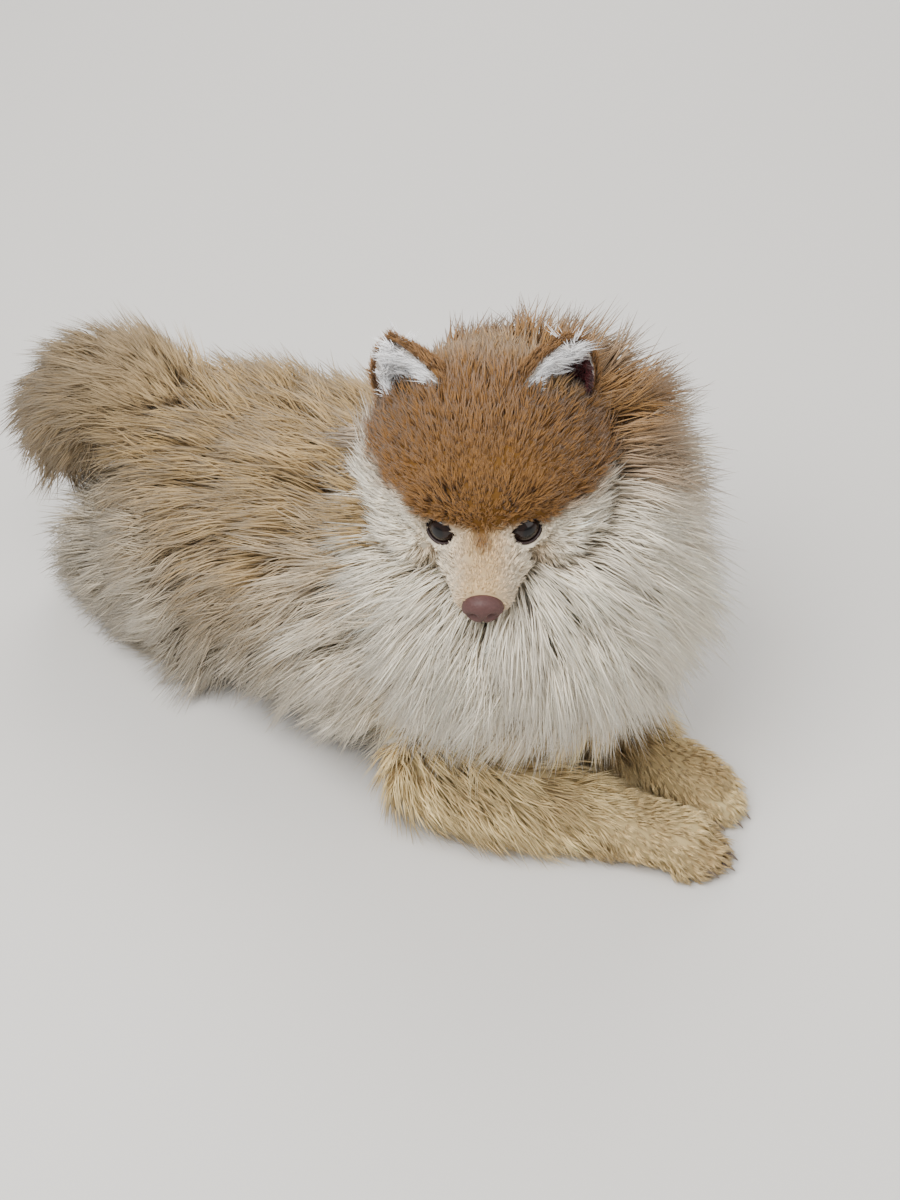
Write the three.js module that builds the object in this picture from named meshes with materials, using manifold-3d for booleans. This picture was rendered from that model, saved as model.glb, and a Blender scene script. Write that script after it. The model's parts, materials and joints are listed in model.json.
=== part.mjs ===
// A life-size Pomeranian puppy lying down, chest on the floor, head turned to its right, tail raised.
// Millimetres, +Z up. The dog's body points along +X and its left side is +Y.
// The origin is on the floor under the chest, between the elbows.
import * as THREE from "three";
import { mergeVertices } from "three/addons/utils/BufferGeometryUtils.js";
import Module from "manifold-3d";

const wasm = await Module();
wasm.setup();
const V = (x, y, z) => new THREE.Vector3(x, y, z);

// Driving sizes
const GAP = 0.35; // kept between neighbouring sub-parts
const FLOOR_CLEAR = 0.9; // lowest middle line of a lock that lies on the floor
const SHORTEST = 0.05; // details smaller than this are merged away
const SKULL = { place: V(0, 2, 147), yawDeg: -54, pitchDeg: 14, rollDeg: 2 };
const EYE = { radius: 6.6, place: V(22, 13.5, -2.5) };
const EAR = { height: 29, halfWidth: 16.5, place: V(-20, 23, 17) };
const CHEEK = { place: V(5, 20, -14), radii: V(19, 16, 14) };
const COAT = { body: 21, ruff: 24, tail: 13, leg: 7, thigh: 15, cheek: 6 };

// One seeded draw, so that every build is the same
let seed = 20431;
function random() {
  seed = (seed * 1664525 + 1013904223) % 4294967296;
  return seed / 4294967296;
}
const spread = (middle, share) => middle * (1 + share * (2 * random() - 1));

const mix = (a, b, t) => a + (b - a) * t;

// A smooth value through evenly indexed numbers, as a Catmull-Rom curve
function through(values, t) {
  const last = values.length - 1;
  const x = THREE.MathUtils.clamp(t, 0, 1) * last;
  const i = Math.min(Math.floor(x), last - 1);
  const f = x - i;
  const at = (k) => values[THREE.MathUtils.clamp(k, 0, last)];
  const [a, b, c, d] = [at(i - 1), at(i), at(i + 1), at(i + 2)];
  return b + 0.5 * f * (c - a + f * (2 * a - 5 * b + 4 * c - d + f * (3 * (b - c) + d - a)));
}

// A limb, trunk or head: ellipses with their middles on a curve. Each station is
// [middle, half width, half height]. The ellipses stand square to the curve.
class Loft {
  constructor(stations, { up = V(0, 0, 1), matrix = null } = {}) {
    this.stations = stations;
    this.up = up;
    this.matrix = matrix;
    this.curve = new THREE.CatmullRomCurve3(stations.map((s) => s[0]), false, "centripetal");
  }
  at(t, angle, grow = 0) {
    const middle = this.curve.getPoint(t);
    const along = this.curve.getTangent(t);
    const side = this.up.clone().cross(along).normalize();
    const top = along.clone().cross(side);
    const wide = through(this.stations.map((s) => s[1]), t) + grow;
    const high = through(this.stations.map((s) => s[2]), t) + grow;
    const p = middle
      .addScaledVector(side, wide * Math.cos(angle))
      .addScaledVector(top, high * Math.sin(angle));
    return this.matrix ? p.applyMatrix4(this.matrix) : p;
  }
  normal(t, angle) {
    const d = 0.02;
    const du = this.at(Math.min(t + d, 1), angle).sub(this.at(Math.max(t - d, 0), angle));
    const dv = this.at(t, angle + d).sub(this.at(t, angle - d));
    return du.cross(dv).normalize().negate();
  }
  // The closed surface, with rounded ends that reach past the first and last station
  geometry(rings, sides, grow = 0, ends = [0.6, 0.6]) {
    const rows = [];
    const place = (t, scale, shift) => {
      const ring = [];
      const centre = this.curve.getPoint(t);
      const along = this.curve.getTangent(t).multiplyScalar(shift);
      for (let k = 0; k < sides; k++) {
        const m = this.matrix;
        this.matrix = null;
        const p = this.at(t, (2 * Math.PI * k) / sides, grow);
        this.matrix = m;
        p.sub(centre).multiplyScalar(scale).add(centre).add(along);
        ring.push(m ? p.applyMatrix4(m) : p);
      }
      return ring;
    };
    const first = this.stations[0];
    const last = this.stations[this.stations.length - 1];
    const reach = [first, last].map((s, i) => ends[i] * Math.min(s[1], s[2]) + 1.5 * grow);
    const cap = [0.35, 0.75];
    for (const c of cap) rows.push(place(0, Math.sin((c * Math.PI) / 2), -reach[0] * Math.cos((c * Math.PI) / 2)));
    for (let i = 0; i <= rings; i++) rows.push(place(i / rings, 1, 0));
    for (const c of [...cap].reverse()) rows.push(place(1, Math.sin((c * Math.PI) / 2), reach[1] * Math.cos((c * Math.PI) / 2)));
    const pole = (t, shift) => {
      const p = this.curve.getPoint(t).addScaledVector(this.curve.getTangent(t), shift);
      return this.matrix ? p.applyMatrix4(this.matrix) : p;
    };
    return skin(rows, pole(0, -reach[0]), pole(1, reach[1]));
  }
}

// Rows of points joined into one closed surface between two poles
function skin(rows, start, end) {
  const sides = rows[0].length;
  const points = [start, ...rows.flat(), end];
  const index = [];
  const id = (r, k) => 1 + r * sides + (k % sides);
  for (let k = 0; k < sides; k++) {
    index.push(0, id(0, k + 1), id(0, k));
    index.push(points.length - 1, id(rows.length - 1, k), id(rows.length - 1, k + 1));
  }
  for (let r = 0; r + 1 < rows.length; r++)
    for (let k = 0; k < sides; k++) {
      index.push(id(r, k), id(r, k + 1), id(r + 1, k));
      index.push(id(r, k + 1), id(r + 1, k + 1), id(r + 1, k));
    }
  const g = new THREE.BufferGeometry();
  g.setAttribute("position", new THREE.Float32BufferAttribute(points.flatMap((p) => [p.x, p.y, p.z]), 3));
  g.setIndex(index);
  return g;
}

// A closed geometry as a solid, turned to face out
function solid(geometry) {
  const g = geometry.clone();
  g.deleteAttribute("normal");
  g.deleteAttribute("uv");
  const merged = mergeVertices(g, 1e-4);
  const make = (triVerts) =>
    new wasm.Manifold(new wasm.Mesh({ numProp: 3, vertProperties: merged.attributes.position.array, triVerts }));
  const faces = new Uint32Array(merged.index.array);
  const made = make(faces);
  if (made.volume() > 0) return made;
  for (let i = 0; i < faces.length; i += 3) [faces[i + 1], faces[i + 2]] = [faces[i + 2], faces[i + 1]];
  return make(faces);
}

function ellipsoid(middle, radii, grow = 0, turn = null, segments = [16, 10]) {
  const g = new THREE.SphereGeometry(1, segments[0], segments[1]);
  g.scale(radii.x + grow, radii.y + grow, radii.z + grow);
  if (turn) g.applyMatrix4(turn);
  g.translate(middle.x, middle.y, middle.z);
  return solid(g);
}

// A flat, tapered lock of hair. It leaves the skin at root along normal and bends over to lie along lie.
// Its section is a low triangle whose ridge looks outward, and it ends in a point.
function lock({ root, normal, lie, length, width, thick, lift, sink = 5, droop = 0 }, grow = 0) {
  const flat = lie.clone().addScaledVector(normal, -lie.dot(normal)).normalize();
  const side = normal.clone().cross(flat).normalize();
  const stops = [0, 0.3, 0.66];
  const path = (s) => {
    const p = root
      .clone()
      .addScaledVector(flat, length * s)
      .addScaledVector(normal, mix(-sink, lift, Math.sin((Math.min(1, s * 1.35) * Math.PI) / 2)));
    p.z -= droop * s * s;
    p.z = Math.max(p.z, FLOOR_CLEAR);
    return p;
  };
  const shape = [0.75, 1, 0.72];
  const rows = stops.map((s, i) => {
    const p = path(s);
    const half = (width / 2) * shape[i] + 6 * grow;
    const high = thick * mix(1, 0.6, s) + grow;
    const ahead = path(s + 0.05).sub(path(Math.max(0, s - 0.05))).normalize();
    const out = ahead.clone().cross(side).normalize();
    if (out.dot(normal) < 0) out.negate();
    const across = out.clone().cross(ahead).normalize();
    const foot = p.clone().addScaledVector(out, -high * 0.4 - grow * 0.5);
    return [
      foot.clone().addScaledVector(across, half),
      p.clone().addScaledVector(out, high * 0.6 + grow * 0.5),
      foot.clone().addScaledVector(across, -half),
    ];
  });
  const tip = path(1).addScaledVector(path(1).sub(path(stops[2])).normalize(), 6 * grow);
  const start = path(0).addScaledVector(normal, -0.5);
  return solid(skin(rows, start, tip));
}

const union = (list) => wasm.Manifold.union(list);
const largest = (s) => {
  const bodies = s.decompose();
  return bodies.reduce((a, b) => (b.volume() > a.volume() ? b : a));
};

// Head, in its own frame: +X to the nose, +Y to its left, origin in the middle of the skull
const headPlace = new THREE.Matrix4()
  .makeTranslation(SKULL.place.x, SKULL.place.y, SKULL.place.z)
  .multiply(new THREE.Matrix4().makeRotationZ(THREE.MathUtils.degToRad(SKULL.yawDeg)))
  .multiply(new THREE.Matrix4().makeRotationY(THREE.MathUtils.degToRad(SKULL.pitchDeg)))
  .multiply(new THREE.Matrix4().makeRotationX(THREE.MathUtils.degToRad(SKULL.rollDeg)));
const onHead = (p) => p.clone().applyMatrix4(headPlace);
const headTurn = new THREE.Matrix4().extractRotation(headPlace);
const headWay = (d) => d.clone().transformDirection(headTurn);

const skull = new Loft(
  [
    [V(-33, 0, 1), 23, 20],
    [V(-22, 0, 1), 36, 30],
    [V(-5, 0, 1), 41, 33],
    [V(10, 0, 0), 37, 29],
    [V(21, 0, -1), 26, 20],
  ],
  { matrix: headPlace },
);
const muzzle = new Loft(
  [
    [V(6, 0, -12), 17, 13],
    [V(24, 0, -12), 14.5, 12],
    [V(36, 0, -13), 13.5, 11],
    [V(46, 0, -14), 11, 9.2],
  ],
  { matrix: headPlace },
);

const mouthLine = [
  V(26, 11.8, -19.5), V(33, 10.8, -19.6), V(40, 9.2, -19.8), V(46.6, 5.4, -20), V(49.4, 0, -19.6),
];
const mirrored = (points) => [...points, ...points.slice(0, -1).reverse().map((p) => V(p.x, -p.y, p.z))];

function tube(points, radius, grow = 0, steps = 8, sides = 4) {
  const line = new Loft(points.map((p) => [p, radius, radius]), { up: V(0, 0, 1), matrix: headPlace });
  return solid(line.geometry(steps, sides, grow));
}

function eye(side, grow = 0) {
  const p = onHead(V(EYE.place.x, EYE.place.y * side, EYE.place.z));
  return ellipsoid(p, V(EYE.radius, EYE.radius, EYE.radius), grow, null, [14, 8]);
}

// The lids: an almond-shaped ring round the eye, on the eye's own ball
function lids(side, grow = 0) {
  const look = V(0.83, 0.46 * side, 0.3).normalize();
  const across = V(0, 0, 1).cross(look).normalize();
  const high = look.clone().cross(across);
  const centre = V(EYE.place.x, EYE.place.y * side, EYE.place.z);
  const turns = 12;
  const line = [];
  for (let k = 0; k < turns; k++) {
    const a = (2 * Math.PI * k) / turns;
    const y = Math.cos(a);
    const z = Math.sin(a) * (1 - 0.2 * Math.abs(y) ** 3);
    const flat = V(0, 0, 0).addScaledVector(across, y * 6.9).addScaledVector(high, z * 5.9);
    const reach = Math.sqrt(Math.max(8 ** 2 - flat.lengthSq(), 0.5));
    line.push(centre.clone().add(flat).addScaledVector(look, reach - 0.8));
  }
  return ringTube(line, 1.9 + grow, 5);
}

// A closed tube round a closed line of points on the head
function ringTube(line, radius, sides) {
  const middle = line.reduce((sum, p) => sum.add(p), V(0, 0, 0)).divideScalar(line.length);
  const points = [];
  line.forEach((p, i) => {
    const ahead = line[(i + 1) % line.length].clone().sub(line.at(i - 1)).normalize();
    const out = p.clone().sub(middle);
    out.addScaledVector(ahead, -out.dot(ahead)).normalize();
    const other = ahead.clone().cross(out);
    for (let k = 0; k < sides; k++) {
      const a = (2 * Math.PI * k) / sides;
      const way = out.clone().multiplyScalar(Math.cos(a)).addScaledVector(other, Math.sin(a));
      points.push(onHead(p.clone().addScaledVector(way, radius)));
    }
  });
  const index = [];
  for (let i = 0; i < line.length; i++)
    for (let k = 0; k < sides; k++) {
      const a = i * sides + k;
      const b = i * sides + ((k + 1) % sides);
      const c = ((i + 1) % line.length) * sides + k;
      const d = ((i + 1) % line.length) * sides + ((k + 1) % sides);
      index.push(a, b, d, a, d, c);
    }
  const g = new THREE.BufferGeometry();
  g.setAttribute("position", new THREE.Float32BufferAttribute(points.flatMap((p) => [p.x, p.y, p.z]), 3));
  g.setIndex(index);
  return solid(g);
}

function nose(grow = 0) {
  const pad = ellipsoid(onHead(V(50.6, 0, -13.6)), V(4.4, 7.3, 5.4), grow, headTurn, [12, 8]);
  if (grow) return pad;
  const nostrils = [1, -1].map((s) => ellipsoid(onHead(V(54.6, 3.5 * s, -14.4)), V(2.2, 1.3, 1.5), 0, headTurn, [7, 5]));
  return pad.subtract(union(nostrils));
}

// An upright ear: a leaf that is cupped towards the front, closed at the back
function ear(side, grow = 0) {
  const base = V(EAR.place.x, EAR.place.y * side, EAR.place.z);
  const rise = V(-0.16, 0.3 * side, 0.94).normalize();
  const front = V(0.88, 0.42 * side, 0.18).normalize();
  const across = rise.clone().cross(front).normalize();
  const outer = [
    [0, 0.92, 0.62], [0.25, 1, 0.58], [0.5, 0.96, 0.5], [0.75, 0.79, 0.4], [0.92, 0.5, 0.28],
  ];
  const leaf = (width, depth, forward, from, to, extra) => {
    const rows = outer.map(([h, w, d]) => {
      const middle = base.clone().addScaledVector(rise, EAR.height * mix(from, to, h)).addScaledVector(front, forward);
      const ring = [];
      for (let k = 0; k < 12; k++) {
        const a = (2 * Math.PI * k) / 12;
        ring.push(
          onHead(
            middle
              .clone()
              .addScaledVector(across, Math.cos(a) * (w * width + extra))
              .addScaledVector(front, Math.sin(a) * (d * depth + extra)),
          ),
        );
      }
      return ring;
    });
    const foot = onHead(base.clone().addScaledVector(rise, EAR.height * from - 1 - extra).addScaledVector(front, forward));
    const tip = onHead(base.clone().addScaledVector(rise, EAR.height * to + 1.5 + extra).addScaledVector(front, forward));
    return solid(skin(rows, foot, tip));
  };
  const whole = leaf(EAR.halfWidth, 13, 0, -0.25, 1, grow);
  if (grow) return whole;
  return whole.subtract(leaf(EAR.halfWidth - 3.2, 13, 8.2, 0.12, 0.9, 0));
}

// Locks set on a loft, in rows along it and round it
function dress(loft, shape) {
  const { rows, around, length, width, lift, lie, thick = 2.8, droop = 0, sink = 6 } = shape;
  const { scale = () => 1, keep = () => true } = shape;
  const made = [];
  rows.forEach((t, r) => {
    for (let k = 0; k < around; k++) {
      const angle = ((k + 0.5 * (r % 2) + 0.25 * (random() - 0.5)) * 2 * Math.PI) / around;
      const root = loft.at(t, angle);
      const normal = loft.normal(t, angle);
      const place = { t, root, normal };
      const sizes = [spread(length, 0.14), spread(width, 0.12), spread(lift, 0.12)].map((v) => v * scale(place));
      if (!keep(place)) continue;
      made.push({ root, normal, lie: lie(place), length: sizes[0], width: sizes[1], lift: sizes[2], thick, droop, sink });
    }
  });
  return made;
}
const many = (from, to, count) => Array.from({ length: count }, (_, i) => mix(from, to, i / (count - 1)));

// Trunk, from the rump to the front of the chest
const trunk = new Loft([
  [V(-178, 22, 52), 30, 34],
  [V(-150, 21, 54), 44, 44],
  [V(-112, 20, 56), 49, 48],
  [V(-66, 18, 63), 50, 54],
  [V(-18, 14, 66), 48, 54],
  [V(18, 6, 58), 36, 42],
]);
const backward = ({ root, normal }) => {
  const down = root.z < 95 ? 0.75 * Math.abs(normal.y) : 0;
  return V(-1, 0.1 * Math.sign(root.y - 20), -0.15 - down).normalize();
};
const trunkLocks = dress(trunk, {
  rows: many(0.03, 0.72, 4),
  around: 9,
  length: 58,
  width: 34,
  lift: COAT.body,
  lie: backward,
  droop: 5,
  keep: ({ root, normal }) => root.z > 12 && normal.z > -0.6,
});

// Neck, with the ruff and the mane
const neckCore = new Loft(
  [
    [V(8, 8, 56), 42, 38],
    [V(5, 16, 84), 47, 41],
    [V(-5, 29, 112), 45, 32],
    [V(-13, 36, 134), 41, 25],
    [V(-16, 38, 150), 32, 19],
  ],
  { up: V(0.6, -0.8, 0) },
);
const face = onHead(V(16, 0, 2));
const fromFace = ({ root }) => {
  const away = root.clone().sub(face);
  return V(away.x * 0.7, away.y * 0.7, away.z * 1.2 - 22).normalize();
};
const ruffLocks = dress(neckCore, {
  rows: many(0.12, 0.98, 5),
  around: 10,
  length: 42,
  width: 28,
  lift: COAT.ruff,
  lie: fromFace,
  droop: 4,
  scale: ({ root }) => THREE.MathUtils.clamp(0.3 + root.z / 115, 0.7, 1),
  keep: ({ root }) => root.z < 128 || root.clone().sub(face).length() > 40,
});

// Cheek hair, behind and below the eyes
const cheekLocks = dress(skull, {
  rows: [0.3, 0.52],
  around: 8,
  length: 24,
  width: 15,
  lift: COAT.cheek,
  lie: () => headWay(V(-1, 0, -0.3)),
  thick: 2.4,
  sink: 4,
  keep: ({ root }) => root.z < 150,
});

// Tail: it rises from the rump, arches back and hangs to the right
const tailCore = new Loft(
  [
    [V(-164, 20, 70), 10, 10],
    [V(-178, 14, 88), 11, 11],
    [V(-191, 7, 100), 12, 11],
    [V(-204, 0, 101), 12, 11],
    [V(-214, -6, 93), 11, 10],
    [V(-218, -9, 81), 8, 8],
  ],
  { up: V(0.5, -0.85, 0) },
);
const tailLocks = dress(tailCore, {
  rows: many(0.3, 0.98, 3),
  around: 5,
  length: 33,
  width: 20,
  lift: COAT.tail,
  lie: ({ t, normal }) => tailCore.curve.getTangent(t).addScaledVector(normal, 0.3).normalize(),
  sink: 4,
});

// Forelegs: elbow, forearm, wrist, paw. The right one reaches inward, so the paws lie together.
function foreleg(elbow, wrist, toes) {
  const ahead = toes.clone().sub(wrist).normalize();
  return new Loft([
    [elbow.clone().add(V(-6, 0, 6)), 21, 22],
    [elbow.clone().lerp(wrist, 0.3).add(V(0, 0, 3)), 19, 20],
    [elbow.clone().lerp(wrist, 0.68), 15, 15.5],
    [wrist, 13, 13],
    [wrist.clone().addScaledVector(ahead, 13), 14, 12],
    [toes.clone().addScaledVector(ahead, -9), 12.5, 10],
  ]);
}
const LEGS = {
  foreleg_right: foreleg(V(4, -28, 19), V(62, -6, 12.5), V(102, 10, 10)),
  foreleg_left: foreleg(V(4, 44, 19), V(60, 34, 12.5), V(92, 35, 10)),
};
const TOES = [-8.4, -2.9, 2.9, 8.4].map((across) => ({ across, ahead: Math.abs(across) > 5 ? 1.5 : 6.5 }));
function toes(loft, grow = 0) {
  const ahead = loft.curve.getTangent(1);
  const side = V(0, 0, 1).cross(ahead).normalize();
  const turn = new THREE.Matrix4().makeBasis(ahead, side, ahead.clone().cross(side));
  return TOES.map((toe) => {
    const place = loft.curve.getPoint(1).addScaledVector(side, toe.across).addScaledVector(ahead, toe.ahead);
    place.z = 7;
    return ellipsoid(place, V(9, 5.1, 6.8), grow, turn, [8, 5]);
  });
}
const legLocks = {};
for (const [name, loft] of Object.entries(LEGS))
  legLocks[name] = dress(loft, {
    rows: [0.05, 0.3],
    around: 6,
    length: 28,
    width: 15,
    lift: COAT.leg,
    lie: ({ t }) => loft.curve.getTangent(t).multiplyScalar(0.9).add(V(-0.1, 0, -0.3)),
    thick: 2.4,
    sink: 4,
    keep: ({ root, normal }) => root.z > 8 && normal.z > -0.5,
  });

// Hind legs: thigh, shank and foot folded on the floor beside the rump
function hindleg(side) {
  const hip = V(-148, 20 + 26 * side, 48);
  const knee = V(-128, 20 + 44 * side, 30);
  const hock = V(-196, 20 + (side < 0 ? -26 : 40), 26);
  return {
    side,
    thigh: new Loft([[hip, 24, 28], [knee.clone().lerp(hip, 0.4), 22, 26], [knee, 15, 17]]),
    shank: new Loft([[knee, 14, 16], [knee.clone().lerp(hock, 0.45), 16, 18], [hock, 18, 20]]),
    foot: new Loft([
      [hock.clone().add(V(4, 0, -14)), 10.5, 10],
      [hock.clone().add(V(28, 6 * side, -16)), 10, 9],
      [hock.clone().add(V(48, 8 * side, -17)), 11.5, 8.5],
    ]),
  };
}
const HIND = { hindleg_right: hindleg(-1), hindleg_left: hindleg(1) };
const hindLocks = {};
for (const [name, h] of Object.entries(HIND)) {
  const outside = ({ root, normal }) => root.z > 10 && normal.y * h.side > -0.3;
  const shape = {
    length: 40,
    width: 21,
    lift: COAT.thigh,
    lie: () => V(-1, 0.25 * h.side, -0.55).normalize(),
    droop: 6,
    keep: outside,
  };
  hindLocks[name] = [
    ...dress(h.thigh, { ...shape, rows: [0.4], around: 7 }),
    ...dress(h.shank, { ...shape, rows: [0.45, 0.95], around: 7 }),
  ];
}

const FLOOR = solid(new THREE.BoxGeometry(900, 900, 200).translate(0, 0, -100));
const locksOf = (list, grow) => list.map((l) => lock(l, grow));

// Each sub-part's solid, made larger all round by grow
const SHAPES = {
  eye_right: (g) => eye(-1, g),
  eye_left: (g) => eye(1, g),
  nose: (g) => nose(g),
  ear_right: (g) => ear(-1, g),
  ear_left: (g) => ear(1, g),
  head: (g) => headShape(g),
  foreleg_right: (g) => legShape("foreleg_right", g),
  foreleg_left: (g) => legShape("foreleg_left", g),
  neck: (g) => union([solid(neckCore.geometry(6, 16, g, [0.6, 0.6])), ...locksOf(ruffLocks, g)]),
  hindleg_right: (g) => hindShape("hindleg_right", g),
  hindleg_left: (g) => hindShape("hindleg_left", g),
  tail: (g) => union([solid(tailCore.geometry(9, 10, g, [0.2, 0.8])), ...locksOf(tailLocks, g)]),
  torso: (g) => union([solid(trunk.geometry(8, 18, g, [0.6, 0.6])), ...locksOf(trunkLocks, g)]),
};
function headShape(g) {
  const parts = [solid(skull.geometry(7, 16, g, [0.5, 0.35])), solid(muzzle.geometry(5, 12, g, [0.3, 0.6]))];
  for (const side of [1, -1]) {
    const place = onHead(V(CHEEK.place.x, CHEEK.place.y * side, CHEEK.place.z));
    parts.push(ellipsoid(place, CHEEK.radii, g, headTurn, [10, 7]), lids(side, g));
  }
  const lip = (drop, radius) => tube(mirrored(mouthLine.map((p) => p.clone().add(V(0, 0, drop)))), radius, g);
  parts.push(lip(1.3, 1.3), lip(-1.7, 1.4), ...locksOf(cheekLocks, g));
  const whole = union(parts);
  return g ? whole : whole.subtract(tube(mirrored(mouthLine.map((p) => p.clone().add(V(1.2, 0, 0)))), 0.9));
}
function legShape(name, g) {
  const loft = LEGS[name];
  return union([solid(loft.geometry(8, 10, g, [0.8, 0.75])), ...toes(loft, g), ...locksOf(legLocks[name], g)]);
}
function hindShape(name, g) {
  const h = HIND[name];
  return union([
    solid(h.thigh.geometry(4, 12, g)),
    solid(h.shank.geometry(4, 10, g)),
    solid(h.foot.geometry(4, 10, g)),
    ...locksOf(hindLocks[name], g),
  ]);
}

// The neighbours that each sub-part has to stand clear of
const CLEAR_OF = {
  head: ["eye_right", "eye_left", "nose", "ear_right", "ear_left"],
  foreleg_left: ["foreleg_right"],
  neck: ["head", "ear_right", "ear_left", "foreleg_right", "foreleg_left"],
  hindleg_left: ["hindleg_right"],
  tail: ["hindleg_right", "hindleg_left"],
  torso: ["neck", "head", "tail", "foreleg_right", "foreleg_left", "hindleg_right", "hindleg_left"],
};

const COLOURS = {
  eye: [0x1a120e, 0.1],
  nose: [0x6b4440, 0.45],
  ear: [0xb08a58, 0.9],
  head: [0x9c6d3a, 0.9],
  foreleg: [0xd0b88e, 0.9],
  neck: [0xd8d0bb, 0.95],
  hindleg: [0xcab28a, 0.95],
  tail: [0xcdbb98, 0.95],
  torso: [0xc2a578, 0.95],
};

// A solid as a named mesh
function piece(name, made) {
  const mesh = made.getMesh();
  const step = mesh.numProp;
  const xyz = new Float32Array(mesh.numVert * 3);
  for (let i = 0; i < mesh.numVert; i++) xyz.set(mesh.vertProperties.subarray(i * step, i * step + 3), i * 3);
  const geometry = new THREE.BufferGeometry()
    .setAttribute("position", new THREE.BufferAttribute(xyz, 3))
    .setIndex(new THREE.BufferAttribute(mesh.triVerts, 1));
  geometry.computeVertexNormals();
  const [color, roughness] = COLOURS[name.split("_")[0]];
  const result = new THREE.Mesh(geometry, new THREE.MeshStandardMaterial({ color, roughness, metalness: 0 }));
  result.name = name;
  return result;
}

const group = new THREE.Group();
const larger = {};
for (const [name, shape] of Object.entries(SHAPES)) {
  let made = shape(0).subtract(FLOOR);
  for (const other of CLEAR_OF[name] ?? []) {
    larger[other] ??= SHAPES[other](GAP);
    made = made.subtract(larger[other]);
  }
  group.add(piece(name, largest(made).simplify(SHORTEST)));
}

// The part stands on the middle of its base
const box = new THREE.Box3().setFromObject(group);
group.position.set(-(box.min.x + box.max.x) / 2, -(box.min.y + box.max.y) / 2, -box.min.z);

export default group;
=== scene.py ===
"""Looks of a life-size Pomeranian puppy lying down.

Forms are given in millimetres in the dog's own frame: +X from rump to forepaws, +Y to its left, +Z up.
A seamless skin is laid over the forms, and solid hairs grow from it in locks.
"""

import json

import bmesh
import bpy
import numpy as np
from mathutils import Matrix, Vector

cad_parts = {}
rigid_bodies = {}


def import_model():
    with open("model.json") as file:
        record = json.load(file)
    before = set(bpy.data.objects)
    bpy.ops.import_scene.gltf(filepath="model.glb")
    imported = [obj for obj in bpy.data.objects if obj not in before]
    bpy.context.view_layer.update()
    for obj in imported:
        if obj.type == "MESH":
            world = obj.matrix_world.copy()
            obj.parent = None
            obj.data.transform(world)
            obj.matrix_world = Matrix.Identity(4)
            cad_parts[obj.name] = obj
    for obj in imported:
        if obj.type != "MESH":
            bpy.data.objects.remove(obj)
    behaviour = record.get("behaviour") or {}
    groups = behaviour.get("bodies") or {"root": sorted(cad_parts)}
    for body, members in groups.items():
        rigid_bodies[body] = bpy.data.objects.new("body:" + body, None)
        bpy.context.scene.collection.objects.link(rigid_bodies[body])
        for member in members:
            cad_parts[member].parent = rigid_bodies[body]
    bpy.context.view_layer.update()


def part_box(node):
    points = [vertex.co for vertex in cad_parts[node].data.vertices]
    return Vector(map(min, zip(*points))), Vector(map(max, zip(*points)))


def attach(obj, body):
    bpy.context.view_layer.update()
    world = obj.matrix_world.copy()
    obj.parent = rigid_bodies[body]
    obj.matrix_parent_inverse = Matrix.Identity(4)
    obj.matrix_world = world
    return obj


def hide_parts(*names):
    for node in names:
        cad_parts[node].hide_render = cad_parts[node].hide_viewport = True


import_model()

MM = 0.001
TURN = 2 * np.pi
SIDES = (1, -1)  # the dog's left and its right
rng = np.random.default_rng(20431)


def vec(*values):
    return np.array(values, float)


UP = vec(0, 0, 1)


def unit(v):
    return v / np.maximum(np.linalg.norm(v, axis=-1, keepdims=True), 1e-9)


def dot(a, b):
    return np.sum(a * b, axis=-1, keepdims=True)


def ramp(x, low, high):
    """0 at low, 1 at high, smooth between them. For -x, -b and -a it falls from 1 at a to 0 at b."""
    t = np.clip((np.asarray(x, float) - low) / (high - low), 0, 1)
    return t * t * (3 - 2 * t)


def mirrored(value, side):
    """A place or a way on the head, given for its left, on either side."""
    return value * vec(1, side, 1)


# Sizes that drive the forms
SKULL = {"place": vec(0, 2, 147), "yaw": -54, "pitch": 14, "roll": 2}
EYE = {"radius": 6.6, "place": vec(22, 13.5, -2.5), "look": vec(0.83, 0.46, 0.3)}
EAR = {
    "height": 29,
    "half_width": 16.5,
    "place": vec(-20, 23, 17),
    "rise": vec(-0.16, 0.3, 0.94),
    "front": vec(0.88, 0.42, 0.18),
}
NOSE = {"place": vec(50.6, 0, -14.2), "radii": vec(5.2, 7.6, 6.6)}


def rotation(axis, degrees):
    a = np.radians(degrees)
    c, s = np.cos(a), np.sin(a)
    i, j = [(1, 2), (2, 0), (0, 1)][axis]
    m = np.eye(3)
    m[i, i], m[j, j], m[i, j], m[j, i] = c, c, -s, s
    return m


# The head's frame: +X to the nose, +Y to its left
HEAD_TURN = rotation(2, SKULL["yaw"]) @ rotation(1, SKULL["pitch"]) @ rotation(0, SKULL["roll"])


def on_head(p):
    return np.asarray(p) @ HEAD_TURN.T + SKULL["place"]


def in_head(p):
    return (np.asarray(p) - SKULL["place"]) @ HEAD_TURN


def head_way(d):
    return np.asarray(d) @ HEAD_TURN.T


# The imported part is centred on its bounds: an eye tells how far it was moved
eye_low, eye_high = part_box("eye_left")
EYE_LEFT = on_head(EYE["place"])
SHIFT = (np.array(eye_low) + np.array(eye_high)) / 2 - EYE_LEFT * MM


def to_world(p):
    return np.asarray(p) * MM + SHIFT


def through(values, t):
    """Values on a smooth (Catmull-Rom) curve, at shares t of the way through a list."""
    values = np.asarray(values, float)
    last = len(values) - 1
    x = np.clip(np.asarray(t, float), 0, 1) * last
    i = np.minimum(x.astype(int), last - 1)
    f = x - i
    if values.ndim > 1:
        f = f[..., None]
    a, b, c, d = (values[np.clip(i + k, 0, last)] for k in (-1, 0, 1, 2))
    return b + 0.5 * f * (c - a + f * (2 * a - 5 * b + 4 * c - d + f * (3 * (b - c) + d - a)))


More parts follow.
